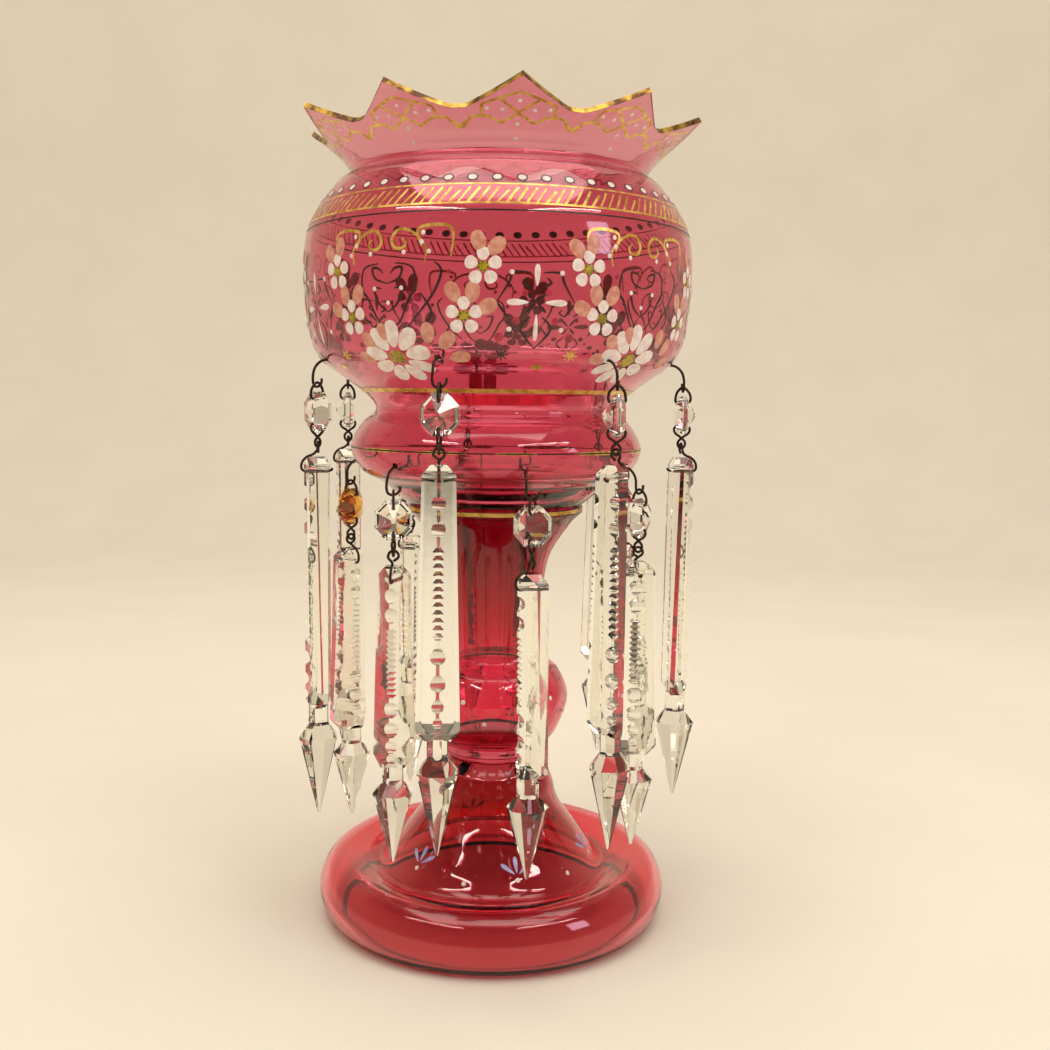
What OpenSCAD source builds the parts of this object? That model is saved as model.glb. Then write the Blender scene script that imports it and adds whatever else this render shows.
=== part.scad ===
// Mantel lustre: a cranberry glass vase on a stem and foot, hung with two rows of cut crystal pendants.
// Millimetres, +Z up, the front faces -Y, the origin is the middle of the flat ring it stands on.

/* [Glass body] */
// radius of the bowl at its widest
bowl_r = 74.5; // [60:0.5:90]
// rise from the waist to the bowl's widest ring
bowl_up = 53.5; // [45:0.5:65]
// radius of the neck under the crown
neck_r = 56.5; // [46:0.5:64]
// rise from the bowl's widest ring to the neck
neck_up = 34; // [28:0.5:42]
// radius at the tips of the crown
crown_r = 76; // [68:0.5:84]
// rise from the neck to the crown tips
crown_up = 19; // [15:0.5:28]
// radius at the valleys between the crown tips
valley_r = 65.3; // [60:0.5:70]
// number of crown tips
crown_points = 10; // [6:1:16]
// turn of the crown about the axis, degrees from the front
crown_turn = 6; // [-18:1:18]
// width of the flat valley between two tips
valley_w = 6; // [2:0.5:12]
// radius of the waist under the bowl
waist_r = 47; // [38:0.5:52]
// rise from the lower bulb's widest ring to the waist
waist_up = 14.5; // [12:0.5:18]
// radius of the lower bulb
bulb_r = 56.5; // [50:0.5:62]
// rise from the joint with the stem to the lower bulb's widest ring
bulb_up = 21.5; // [18:0.5:26]
// wall of the bowl
bowl_wall = 2.4; // [1.8:0.1:4]

/* [Stem and foot] */
// length of the stem, knop included
stem_h = 95; // [80:0.5:115]
// radius of the collar on top of the stem
collar_r = 34.3; // [30:0.1:38]
// thickness of the collar
collar_h = 4; // [2:0.5:6]
// radius of the stem's slim tube
stem_r = 17.8; // [14:0.1:22]
// radius of the hollow knop
knop_r = 29.7; // [24:0.1:34]
// rise from the merese to the knop's widest ring
knop_up = 18; // [15:0.5:22]
// wall of the stem and the knop
stem_wall = 3.6; // [2:0.1:5]
// height of the merese
merese_h = 6.5; // [5:0.5:9]
// height of the foot, bell included
bell_h = 63; // [55:0.5:75]
// radius of the merese ring
merese_r = 21.3; // [18:0.1:25]
// radius of the foot at its widest
foot_r = 69.3; // [62:0.1:80]
// height of the foot's raised rim
foot_h = 23.5; // [18:0.5:28]
// how far the flat ring it stands on lies inside the widest ring
rest_in = 7.3; // [4:0.1:12]
// how far the trough round the bell lies inside the widest ring
trough_in = 24.3; // [20:0.1:28]
// wall of the foot
foot_wall = 3.6; // [2.5:0.1:5]

/* [Pendant rows] */
// pendants in each row
per_row = 7; // [5:1:8]
// angle of the first upper pendant, degrees from the front
upper_turn = -16.7; // [-30:0.1:30]
// angle of the first lower pendant
lower_turn = 10.8; // [-30:0.1:30]
// height of the upper holes above the waist
upper_hole_up = 18; // [16:0.5:20]
// depth of the lower holes below the bulb's widest ring
lower_hole_down = 5.5; // [4:0.5:7]
// how far the upper hook shanks hang inside the bowl's widest ring
upper_hang_in = 2; // [0:0.5:3]
// how far the lower hook shanks hang outside the bulb's widest ring
lower_hang_out = 2.5; // [2:0.5:5]
// how far the upper hooks reach inside the bowl's widest ring
upper_reach_in = 13.5; // [12:0.5:16]
// how far the lower hooks reach inside the bulb's widest ring
lower_reach_in = 9; // [8:0.5:12]
// radius of the iron wire
wire_r = 0.55; // [0.4:0.05:0.7]
// free space between a wire and its hole or eye
wire_gap = 0.4; // [0.3:0.05:0.6]
// free space between a hook and its hole in the glass
hole_gap = 0.6; // [0.4:0.05:0.9]
// drop from the hole in the glass to the hook's lower eye
hook_drop = 10; // [9:0.5:14]
// bend radius of the wire
bend_r = 1.5; // [1.2:0.1:2]

/* [Beads] */
// height of an octagon bead
bead_h = 14.4; // [12:0.1:16]
// width of an octagon bead
bead_w = 13.4; // [11:0.1:15]
// thickness in front of the girdle
bead_front = 5; // [3:0.1:6]
// thickness behind the girdle
bead_back = 2.6; // [1.5:0.1:4]
// half thickness of the girdle
bead_edge = 0.8; // [0.4:0.1:1.5]
// distance of the bead's holes from its edge
bead_hole = 2.5; // [2:0.1:3.5]

/* [Prisms] */
// length of the notched body, upper row
upper_body = 94; // [80:0.5:110]
// length of the notched body, lower row
lower_body = 74; // [60:0.5:90]
// length of neck and shoulder, upper row
upper_neck = 11.5; // [8:0.1:14]
// length of neck and shoulder, lower row
lower_neck = 9.5; // [7:0.1:12]
// length of the spear, upper row
upper_spear = 30; // [22:0.5:38]
// length of the spear, lower row
lower_spear = 26.5; // [20:0.5:34]
// width of the body at its top
prism_w1 = 11.4; // [9:0.1:13]
// width of the body at its lower end
prism_w2 = 15.3; // [13:0.1:18]
// ridge in front of the bore's middle
prism_front = 5; // [4:0.1:6]
// flat back behind the bore's middle
prism_back = 4; // [3:0.1:5]
// distance of the bore below the top
prism_bore = 5; // [4:0.1:7]
// radius of the spear's shoulder
spear_r = 7.6; // [6:0.1:8.5]
// radius of the neck over the spear
neck_cut_r = 3.9; // [3:0.1:5]
// radius of the blunt tip
tip_r = 0.5; // [0.3:0.1:1]

/* [Hidden] */
$fn = 64;
step = 360 / per_row;
// turn of each bead about the vertical, by pendant
upper_twist = [10, -125, 4, 20, -10, 40, 28];
lower_twist = [-34, -12, 15, -12, 10, 150, 46];
// turn of each prism against its bead, by pendant
upper_swivel = [190, 220, 3, 10, 20, -15, -45];
lower_swivel = [-45, 140, -20, 15, 25, -20, -10];
merese_base = bell_h;
merese_top = merese_base + merese_h;
knop_z = merese_top + knop_up;
joint_z = merese_top + stem_h;
bulb_z = joint_z + bulb_up;
waist_z = bulb_z + waist_up;
bowl_z = waist_z + bowl_up;
neck_z = bowl_z + neck_up;
crown_z = neck_z + crown_up;
rest_r = foot_r - rest_in;
trough_r = foot_r - trough_in;
upper_hole_z = waist_z + upper_hole_up;
lower_hole_z = bulb_z - lower_hole_down;
upper_hang_r = bowl_r - upper_hang_in;
lower_hang_r = bulb_r + lower_hang_out;
upper_reach = bowl_r - upper_reach_in;
lower_reach = bulb_r - lower_reach_in;
hook_off = wire_r + bend_r + wire_gap;
bore_r = wire_r + wire_gap;
eye = 2 * wire_r + wire_gap;
bead_z = -bead_h / 2 - wire_r - 1.25;
prism_z = bead_z - bead_h / 2 - 14.3;
names = ["hook", "links", "bead", "prism"];

// smooth curve through the control points
function cr(a, b, c, d, t) = 0.5 * (2 * b + (c - a) * t + (2 * a - 5 * b + 4 * c - d) * t * t
    + (3 * b - a - 3 * c + d) * t * t * t);
function smooth(p, n) = let (m = len(p)) concat([for (i = [0:m - 2]) for (k = [0:n - 1])
    cr(p[max(i - 1, 0)], p[i], p[i + 1], p[min(i + 2, m - 1)], k / n)], [p[m - 1]]);
function unit(v) = v / norm(v);
// the same curve moved to its left by d
function inset(p, d) = let (m = len(p)) [for (i = [0:m - 1])
    let (t = unit(p[min(i + 1, m - 1)] - p[max(i - 1, 0)])) p[i] + d * [-t[1], t[0]]];
function back(p) = [for (i = [len(p) - 1:-1:0]) p[i]];

bowl_path = smooth([[collar_r + 0.2, joint_z], [collar_r + 9.7, joint_z + 7.8],
    [bulb_r - 4.3, bulb_z - 9], [bulb_r, bulb_z],
    [bulb_r - 4.5, bulb_z + 9.5], [waist_r, waist_z], [waist_r + 4.5, waist_z + 6.3],
    [bowl_r - 13.5, waist_z + 13], [bowl_r - 6, waist_z + 19], [bowl_r - 2.2, waist_z + 28.5],
    [bowl_r - 0.6, bowl_z - 13], [bowl_r, bowl_z], [bowl_r - 1.2, neck_z - 22.4],
    [bowl_r - 5.4, neck_z - 13.4], [neck_r + 5.4, neck_z - 4.3], [neck_r, neck_z],
    [neck_r + 1.7, neck_z + 4], [neck_r + 5, neck_z + 8], [crown_r - 10, crown_z - 7],
    [crown_r, crown_z], [crown_r + 5, crown_z + 2.6]], 5);
stem_path = smooth([[merese_r - 0.3, merese_top], [knop_r - 4, knop_z - 13], [knop_r, knop_z],
    [knop_r - 4, knop_z + 10.5], [stem_r + 2.2, knop_z + 14.3], [stem_r, knop_z + 18],
    [stem_r + 0.5, knop_z + 28.5], [stem_r + 1.7, joint_z - 32.2], [stem_r + 4.3, joint_z - 20.1],
    [stem_r + 11.4, joint_z - 8.8],
    [collar_r - 1.2, joint_z - collar_h - 0.4]], 5);
foot_path = smooth([[rest_r, 0], [foot_r - 2.6, 3], [foot_r, 11], [foot_r - 3.2, foot_h - 3.6],
    [foot_r - 10, foot_h], [foot_r - 18, foot_h - 1.6], [trough_r, foot_h - 3.4], [trough_r - 5.5, foot_h + 3],
    [merese_r + 13.1, foot_h + 9.5], [merese_r + 6.7, merese_base - 21.3], [merese_r + 4.2, merese_base - 15.8],
    [merese_r + 2.9, merese_base - 10.4], [merese_r + 0.2, merese_base - 4.5], [merese_r - 3.8, merese_base]], 5);

function at(r, th, z) = [r * sin(th), -r * cos(th), z];

// a straight wire between two points
module bar(a, b, r = wire_r) {
    v = b - a;
    translate(a) rotate([0, acos(v[2] / norm(v)), atan2(v[1], v[0])]) cylinder(h = norm(v), r = r);
}

// closed link of wire in the YZ plane: half width w, from z0 up to z1
module link(w, z0, z1) {
    c = bend_r;
    bar([0, -w + c, z0], [0, w - c, z0]);
    bar([0, -w + c, z1], [0, w - c, z1]);
    for (s = [-1, 1]) bar([0, s * w, z0 + c], [0, s * w, z1 - c]);
    for (q = [[w - c, z1 - c, 0], [-w + c, z1 - c, 90], [-w + c, z0 + c, 180], [w - c, z0 + c, 270]])
        translate([0, q[0], q[1]]) rotate([90, 0, 90]) rotate_extrude(angle = 90, start = q[2])
            translate([c, 0]) circle(r = wire_r);
}

// blown vase body with the star cut crown and the drilled holes
module bowl() {
    inner = inset([for (p = bowl_path) if (p[1] > joint_z + 7) p], bowl_wall);
    vase = concat([[0, joint_z]], bowl_path, back(inner), [[0, inner[0][1]]]);
    star = [for (i = [0:crown_points - 1]) for (s = [-1, 0, 1])
        let (a = crown_turn + 360 / crown_points * i + s * (180 / crown_points - asin(valley_w / 2 / valley_r)))
        s == 0 ? at(crown_r, a, 0) : at(valley_r, a, 0)];
    color([0.70, 0.10, 0.25]) difference() {
        rotate_extrude($fn = 128) polygon(vase);
        translate([0, 0, neck_z + 5]) linear_extrude(30) difference() {
            circle(r = crown_r + 12);
            polygon([for (p = star) [p[0], p[1]]]);
        }
        for (i = [0:per_row - 1]) {
            translate([0, 0, upper_hole_z]) rotate([90, 0, upper_turn + step * i])
                translate([0, 0, upper_reach - 3]) cylinder(h = 30, r = wire_r + hole_gap);
            translate([0, 0, lower_hole_z]) rotate([90, 0, lower_turn + step * i])
                translate([0, 0, lower_reach - 3]) cylinder(h = 30, r = wire_r + hole_gap);
        }
    }
}

// trumpet stem with its collar and hollow knop
module stem() {
    inner = inset(stem_path, stem_wall);
    shape = concat([[merese_r - 0.3 - stem_wall, merese_top]], stem_path,
        [[collar_r, joint_z - collar_h + 0.8], [collar_r, joint_z - 0.8], [collar_r - 0.8, joint_z],
        [collar_r - 5.5, joint_z]],
        back([for (p = inner) if (p[1] > merese_top + 0.6 && p[1] < joint_z - collar_h - 1) p]));
    color([0.62, 0.05, 0.18]) rotate_extrude($fn = 96) polygon(shape);
}

// solid glass ring between knop and foot
module merese() {
    m = (merese_top + merese_base) / 2;
    color([0.55, 0.04, 0.15]) rotate_extrude($fn = 96) polygon([[0, merese_base], [merese_r - 3.8, merese_base],
        [merese_r - 1.6, m - 1.6], [merese_r, m], [merese_r + 0.2, m + 1.2], [merese_r - 0.2, merese_top - 0.6],
        [merese_r - 0.8, merese_top], [0, merese_top]]);
}

// bell shaped hollow foot with a raised, rolled rim
module foot() {
    inner = inset(foot_path, foot_wall);
    shape = concat([[rest_r - 4, 0]], foot_path, [[0, merese_base]], [[0, merese_base - 6]],
        back([for (p = inner) if (p[1] > 1 && p[1] < merese_base - 6) p]));
    color([0.62, 0.05, 0.18]) rotate_extrude($fn = 128) polygon(shape);
}

// frame of a pendant: the shank stands on the local origin at the height of the hole
module hung(row, i) {
    th = (row == 0 ? upper_turn : lower_turn) + step * i;
    r = row == 0 ? upper_hang_r : lower_hang_r;
    translate(at(r, th, row == 0 ? upper_hole_z : lower_hole_z)) rotate([0, 0, th]) children();
}

// frame of the chain below the hook's eye
module chain(row, i) {
    tw = row == 0 ? upper_twist[i] : lower_twist[i];
    hung(row, i) rotate([0, 0, tw]) translate([hook_off, 0, -hook_drop]) children();
}

// bent wire hook: a pin through the glass, a shank and an open eye
module hook(row, i) {
    tw = row == 0 ? upper_twist[i] : lower_twist[i];
    reach = row == 0 ? upper_hang_r - upper_reach : lower_hang_r - lower_reach;
    c = bend_r;
    color([0.16, 0.13, 0.12]) hung(row, i) {
        bar([0, c, 0], [0, reach - c, 0]);
        translate([0, c, -c]) rotate([90, 0, 90]) rotate_extrude(angle = 90, start = 90)
            translate([c, 0]) circle(r = wire_r);
        translate([0, reach - c, c]) rotate([90, 0, 90]) rotate_extrude(angle = 90, start = 270)
            translate([c, 0]) circle(r = wire_r);
        bar([0, reach, c], [0, reach, c + 2.5]);
        bar([0, 0, -c], [0, 0, -hook_drop / 2 + 0.2]);
        translate([0, 0, -hook_drop / 2 - 0.5]) cylinder(h = 1, r = wire_r + 0.12);
        rotate([0, 0, tw]) {
            bar([0, 0, -hook_drop / 2 - 0.2], [0, 0, -hook_drop + c]);
            translate([c, 0, -hook_drop + c]) rotate([90, 0, 0]) rotate_extrude(angle = 90, start = 180)
                translate([c, 0]) circle(r = wire_r);
            bar([c, 0, -hook_drop], [2 * hook_off - c, 0, -hook_drop]);
            translate([2 * hook_off - c, 0, -hook_drop + c]) rotate([90, 0, 0])
                rotate_extrude(angle = 90, start = 270) translate([c, 0]) circle(r = wire_r);
            bar([2 * hook_off, 0, -hook_drop + c], [2 * hook_off, 0, -hook_drop + c + 1.5]);
        }
    }
}

// wire links: hook to bead, bead to eye, eye to prism
module links(row, i) {
    sw = row == 0 ? upper_swivel[i] : lower_swivel[i];
    top = bead_z + bead_h / 2 - bead_hole;
    low = bead_z - bead_h / 2 + bead_hole;
    ring = prism_z + 8.5;
    color([0.2, 0.17, 0.15]) chain(row, i) {
        link(bead_front / 2 + wire_r + 0.35, top, eye);
        link(bead_front / 2 + wire_r + 0.35, ring, low);
        rotate([0, 0, sw]) {
            link(prism_front + wire_r + 0.35, prism_z, ring - 1.85);
            translate([0, 0, ring]) rotate([90, 0, 0]) rotate_extrude() translate([2, 0]) circle(r = wire_r - 0.08);
        }
    }
}

// octagon outline of a bead, shrunk by k
function octagon(k) = let (a = bead_w / 2 * k, b = bead_h / 2 * k, t = 0.42)
    [[a, -b * t], [a, b * t], [a * t, b], [-a * t, b], [-a, b * t], [-a, -b * t], [-a * t, -b], [a * t, -b]];

// cut octagon bead: eight facets to a small table in front, a bevelled flat back
module bead(row, i) {
    rings = [[0.62, bead_back], [1, bead_edge], [1, -bead_edge], [0.12, -bead_front]];
    pts = [for (r = rings) for (p = octagon(r[0])) [p[0], r[1], p[1]]];
    sides = [for (r = [0:2]) for (k = [0:7]) let (m = (k + 1) % 8) [r * 8 + k, r * 8 + 8 + k, r * 8 + 8 + m, r * 8 + m]];
    caps = [[for (k = [0:7]) k], [for (k = [7:-1:0]) 24 + k]];
    color([0.92, 0.93, 0.90]) chain(row, i) difference() {
        translate([0, 0, bead_z]) polyhedron(pts, concat(sides, caps));
        for (s = [-1, 1]) translate([0, -8, bead_z + s * (bead_h / 2 - bead_hole)]) rotate([-90, 0, 0])
            cylinder(h = 16, r = bore_r);
    }
}

// eight sided cut shape through the given radii and heights, from the top down
module spear(rings) {
    n = len(rings);
    pts = [for (r = rings) for (k = [0:7]) [r[0] * cos(22.5 + 45 * k), r[0] * sin(22.5 + 45 * k), r[1]]];
    sides = [for (j = [0:n - 2]) for (k = [0:7]) let (m = (k + 1) % 8)
        [j * 8 + k, j * 8 + m, j * 8 + 8 + m, j * 8 + 8 + k]];
    polyhedron(pts, concat(sides, [[for (k = [7:-1:0]) k], [for (k = [0:7]) (n - 1) * 8 + k]]));
}

// cut prism: tapered body with a notched ridge, a waisted neck and a spear
module prism(row, i) {
    sw = row == 0 ? upper_swivel[i] : lower_swivel[i];
    body = row == 0 ? upper_body : lower_body;
    neck = row == 0 ? upper_neck : lower_neck;
    spear = row == 0 ? upper_spear : lower_spear;
    w1 = prism_w1 / 2;
    w2 = prism_w2 / 2;
    f = prism_front;
    b = prism_back;
    front = [[w1 - 3, 0], [w1, -3.5], [w2, -body + 4], [w2 - 3.2, -body], [-w2 + 3.2, -body],
        [-w2, -body + 4], [-w1, -3.5], [-w1 + 3, 0]];
    side = [[b - 1.5, 0], [b, -3], [b, -body + 3], [b - 1.6, -body], [-f + 2.2, -body],
        [-f, -body + 3], [-f, -3], [-f + 1.8, 0]];
    fine = [0.30, 0.64];
    teeth = 12;
    pitch = (fine[1] - fine[0]) * body / teeth;
    zig = concat([[-f - 1, -fine[0] * body]], [for (k = [0:teeth - 1]) each [
        [-f + 0.15, -fine[0] * body - k * pitch], [-f + 1.25, -fine[0] * body - (k + 0.5) * pitch]]],
        [[-f + 0.15, -fine[1] * body], [-f - 1, -fine[1] * body]]);
    color([0.93, 0.94, 0.92]) chain(row, i) rotate([0, 0, sw]) translate([0, 0, prism_z + prism_bore]) {
        difference() {
            intersection() {
                rotate([90, 0, 0]) linear_extrude(20, center = true) polygon(front);
                rotate([90, 0, 90]) linear_extrude(20, center = true) polygon(side);
                translate([0, 0, -body - 1]) linear_extrude(body + 2)
                    polygon([[-0.6, -f - 0.01], [0.6, -f - 0.01], [8.6, b - 1.6], [8.6, b + 1], [-8.6, b + 1], [-8.6, b - 1.6]]);
            }
            for (q = [[0.14, 2.9], [0.235, 2.9], [0.70, 3.1], [0.80, 3.1], [0.885, 2.6], [0.948, 2.2]])
                translate([0, -f - 1.2, -q[0] * body]) rotate([0, 90, 0]) cylinder(h = 24, r = q[1], center = true, $fn = 32);
            rotate([90, 0, 90]) linear_extrude(20, center = true) polygon(zig);
            translate([0, 0, -prism_bore]) rotate([90, 0, 0]) cylinder(h = 24, r = bore_r, center = true, $fn = 32);
        }
        translate([0, -0.3, 0]) spear([[neck_cut_r, -body + 0.5], [neck_cut_r, -body - neck * 0.6],
            [spear_r, -body - neck], [tip_r, -body - neck - spear]]);
    }
}

bowl();
stem();
merese();
foot();
for (i = [0:per_row - 1]) {
    hook(0, i);
    links(0, i);
    bead(0, i);
    prism(0, i);
    hook(1, i);
    links(1, i);
    bead(1, i);
    prism(1, i);
}
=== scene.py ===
# %% [markdown]
# # A mantel lustre in cranberry glass
# A lustre is a tall glass vase hung with cut crystal drops that catch candle or window light.
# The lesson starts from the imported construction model. Its cut crystal is kept as it is. The blown glass
# is turned again on a finer lathe, the wires are bent again as round wire, and gold and enamel are
# painted on top. Sizes are in millimetres until a vertex is placed, because the part was drawn that way.

# %% Load the frame
import math

import bmesh
import bpy
import numpy as np
from mathutils import Matrix, Vector


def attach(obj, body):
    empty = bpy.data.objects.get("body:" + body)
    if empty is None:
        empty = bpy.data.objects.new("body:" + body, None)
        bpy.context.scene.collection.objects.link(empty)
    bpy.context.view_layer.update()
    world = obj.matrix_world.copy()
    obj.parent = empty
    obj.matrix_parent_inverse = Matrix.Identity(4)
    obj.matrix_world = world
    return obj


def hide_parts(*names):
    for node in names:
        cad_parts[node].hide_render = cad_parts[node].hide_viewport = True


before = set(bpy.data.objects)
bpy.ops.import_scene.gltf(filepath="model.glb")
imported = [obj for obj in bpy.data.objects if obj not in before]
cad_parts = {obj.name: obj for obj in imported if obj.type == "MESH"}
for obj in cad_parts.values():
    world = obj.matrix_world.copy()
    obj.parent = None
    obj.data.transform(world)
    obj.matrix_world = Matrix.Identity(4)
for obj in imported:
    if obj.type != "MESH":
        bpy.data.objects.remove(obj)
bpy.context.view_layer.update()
MM = 0.001
ROOT = "glass"

# %% [markdown]
# ## Finishes
# Every finish is one Principled shader. Colours are written the way a colour card gives them, as hex
# values, and one function turns them into the linear numbers that the renderer wants.
# Plain values go straight on the shader's own sockets, so that the exported model keeps them.

# %% Colours and plain finishes
def linear(code):
    """An sRGB hex colour as linear red, green, blue, alpha."""
    parts = [int(code[i:i + 2], 16) / 255 for i in (1, 3, 5)]
    return [c / 12.92 if c <= 0.04045 else ((c + 0.055) / 1.055) ** 2.4 for c in parts] + [1.0]


def finish(name, colour, **sockets):
    """A Principled material with plain socket values; underscores in a name stand for spaces."""
    made = bpy.data.materials.new(name)
    made.use_nodes = True
    shader = made.node_tree.nodes["Principled BSDF"]
    shader.inputs["Base Color"].default_value = linear(colour)
    for socket, value in sockets.items():
        shader.inputs[socket.replace("_", " ")].default_value = value
    return made


print("the grey #bcbcbc in linear light:", round(linear("#bcbcbc")[0], 3))

# %% [markdown]
# Nothing made by hand is even. A photograph of the surface could be wrapped on, but it needs a file and
# shows seams. A noise that reads the object's own coordinates has none. One noise, sized in millimetres,
# drives the relief, a second colour and the polish together, so that a rusty speck is also a rough one.
# A second helper lets the tint follow the height, for glass that is thicker in some places.

# %% Uneven surfaces
# A spot of the noise fades out between these two values.
spot_edge = (0.38, 0.62)


def add_node(material, kind, links, **settings):
    """One node with its settings; links are (own output, other node, its input) triples."""
    node = material.node_tree.nodes.new(kind)
    for key, value in settings.items():
        if key in node.inputs:
            node.inputs[key].default_value = value
        else:
            setattr(node, key, value)
    for output, other, socket in links:
        material.node_tree.links.new(node.outputs[output], other.inputs[socket])
    return node


def grain(material, size_mm, relief=0.0, depth_mm=0.0, second=None, rough=None):
    """Lets a soft noise with spots of a real size drive relief, a second colour and the polish."""
    shader = material.node_tree.nodes["Principled BSDF"]
    uses = []
    if relief:
        bump = add_node(material, "ShaderNodeBump", [("Normal", shader, "Normal")],
                        Strength=relief, Distance=depth_mm * MM)
        uses.append(("Fac", bump, "Height"))
    if second:
        ramp = add_node(material, "ShaderNodeValToRGB", [("Color", shader, "Base Color")])
        spot, plain = ramp.color_ramp.elements
        spot.position, plain.position = spot_edge
        spot.color = linear(second)
        plain.color = shader.inputs["Base Color"].default_value
        uses.append(("Fac", ramp, "Fac"))
    if rough:
        span = add_node(material, "ShaderNodeMapRange", [("Result", shader, "Roughness")],
                        **{"To Min": rough[0], "To Max": rough[1]})
        uses.append(("Fac", span, "Value"))
    noise = add_node(material, "ShaderNodeTexNoise", uses, Scale=1 / (size_mm * MM), Detail=3.0)
    add_node(material, "ShaderNodeTexCoord", [("Object", noise, "Vector")])


def fade(material, *stops):
    """Lets the tint change with height; each stop is a height in mm and a colour, low to high."""
    shader = material.node_tree.nodes["Principled BSDF"]
    ramp = add_node(material, "ShaderNodeValToRGB", [("Color", shader, "Base Color")])
    low, high = stops[0][0], stops[-1][0]
    for z, _ in stops[1:-1]:
        ramp.color_ramp.elements.new((z - low) / (high - low))
    for stop, (_, colour) in zip(ramp.color_ramp.elements, stops):
        stop.color = linear(colour)
    rise = add_node(material, "ShaderNodeMapRange", [("Result", ramp, "Fac")],
                    **{"From Min": low * MM, "From Max": high * MM})
    axes = add_node(material, "ShaderNodeSeparateXYZ", [("Z", rise, "Value")])
    add_node(material, "ShaderNodeTexCoord", [("Object", axes, "Vector")])


# %% [markdown]
# Cranberry glass is soda glass coloured with a trace of gold. It could be a clear surface filled with a
# tinted volume, but a volume renders slowly. Here the base colour is what a single wall lets through, so
# one wall is pink, two are crimson, and the overlaps look after themselves. Where the glass was gathered
# thick, at the foot of the bowl, the top of the stem and the bell of the foot, it is darker, so the tint
# fades with height. Lead crystal is clear and bends light more.

# %% Make the glass
soda = {"Transmission_Weight": 1.0, "Roughness": 0.0, "IOR": 1.5}
lead = {"Transmission_Weight": 1.0, "Roughness": 0.0, "IOR": 1.58}
blown_wave, cut_wave = 26, 6.2
# Thin blown wall: pink at the crown, crimson through the bowl, with bright clean highlights.
bowl_glass = finish("cranberry_blown_glass", "#ed94ab", **soda)
# Thick wall of stem, knop and ring: a deep red, darkest where it spreads under the bowl.
stem_glass = finish("cranberry_thick_glass", "#d8333f", **soda)
# The foot is blown thinner again: a warm red that the pale cloth lights from below.
foot_glass = finish("cranberry_foot_glass", "#ff8696", **soda)
# Ground and polished crystal: clear, faintly warm, with dark and bright facets side by side.
crystal = finish("cut_lead_crystal", "#fbfbf4", **lead)
# The replaced bead: the same cut in honey yellow.
amber = finish("amber_cut_crystal", "#f2b558", **lead)
# A faint relief bends the reflections: slow waves in blown glass, short ones on the wheel's facets.
for glass, wave in ((bowl_glass, blown_wave), (stem_glass, blown_wave), (foot_glass, blown_wave),
                    (crystal, cut_wave), (amber, cut_wave)):
    grain(glass, wave, relief=0.05, depth_mm=0.6)
# The stops lie at joint, bulb, shoulder and crown, then at ring, knop, stem and joint, then at the
# foot's rest, its rim, its bell and the bell's top.
fade(bowl_glass, (164.5, "#b9344e"), (176, "#e8829a"), (215, "#ed94ab"), (310, "#ed98ad"))
fade(stem_glass, (66, "#e65a76"), (98, "#f0809a"), (116, "#d62c58"), (162, "#9c1c3c"))
fade(foot_glass, (0, "#ff8c9a"), (22, "#ff8696"), (34, "#c84858"), (63, "#bc3e4e"))
print("glass:", [glass.name for glass in (bowl_glass, stem_glass, foot_glass, crystal, amber)])

# %% [markdown]
# The wire is soft iron, left black from the fire. Gilding is liquid gold, fired on and burnished, so
# thin that handling wears it. The enamels are opaque glass paint, fired on in raised dabs. Each is one
# shader with a grain: rust specks of a millimetre, worn spots of a few, and brush marks between them.

# %% Make the metals and enamels
# Black wire: dull, with brown specks and a broken sheen.
iron = finish("aged_iron_wire", "#2b2420", Metallic=0.7, Roughness=0.45)
grain(iron, 1.1, relief=0.3, depth_mm=0.2, second="#4c3324", rough=(0.3, 0.6))
# Thin gold lines: pale yellow, with tan spots where the gold is thin. The gold is only half metal, so the
# pale yellow is partly a painted sheen that shows whatever light falls on it.
gilding = finish("worn_gilding_painted_sheen", "#f4d06c", Metallic=0.45, Roughness=0.25)
grain(gilding, 3.8, second="#c99842", rough=(0.16, 0.4))
# The rim is touched most: gold rubbed to dark brown in places.
rim_gilding = finish("rubbed_rim_gilding", "#dcae48", Metallic=0.7, Roughness=0.3)
grain(rim_gilding, 5.2, second="#4d2f14", rough=(0.2, 0.45))
# Enamel: soft gloss on a colour that is never quite even; the second value is its thin, darker side.
enamel_colours = {
    "white": ("#faf2ec", "#eed6d3"), "salmon": ("#e2a48d", "#cd8570"), "olive": ("#c3ab28", "#8f7c12"),
    "umber": ("#3f1d14", "#28120e"), "blue": ("#bdbeee", "#a3a6de"), "ruby": ("#bf3048", "#98243a")}
paints = {"gold": gilding}
for paint, (light, dark) in enamel_colours.items():
    paints[paint] = finish(paint + "_fired_enamel", light, Roughness=0.3)
    grain(paints[paint], 2.4, relief=0.25, depth_mm=0.2, second=dark, rough=(0.22, 0.42))
print("metals and paints:", [m.name for m in (iron, rim_gilding, *paints.values())])

# %% [markdown]
# ## Turning the glass
# Blown glass is a surface of revolution, so each part is a half outline spun about the upright axis.
# It could be sculpted from a cylinder, but a spin keeps it truly round. The outline runs through a few
# sizes taken with the construction model. A smooth curve through them is what the glass finds by itself
# while it is soft. The wall inside is the same curve, moved in.

# %% Outlines
def through(points, per_span=8):
    """A smooth curve through the points, as an array of radius and height."""
    p = [np.array(q, float) for q in points]
    p = [p[0], *p, p[-1]]
    out = []
    for a, b, c, d in zip(p, p[1:], p[2:], p[3:]):
        for t in np.arange(per_span) / per_span:
            second = (2 * a - 5 * b + 4 * c - d) * t * t
            third = (3 * b - a - 3 * c + d) * t ** 3
            out.append(0.5 * (2 * b + (c - a) * t + second + third))
    return np.array(out + [p[-1]])


def forward(curve):
    """The direction of the curve at each of its points, one long."""
    ahead = np.gradient(curve, axis=0)
    return ahead / np.linalg.norm(ahead, axis=1)[:, None]


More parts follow.
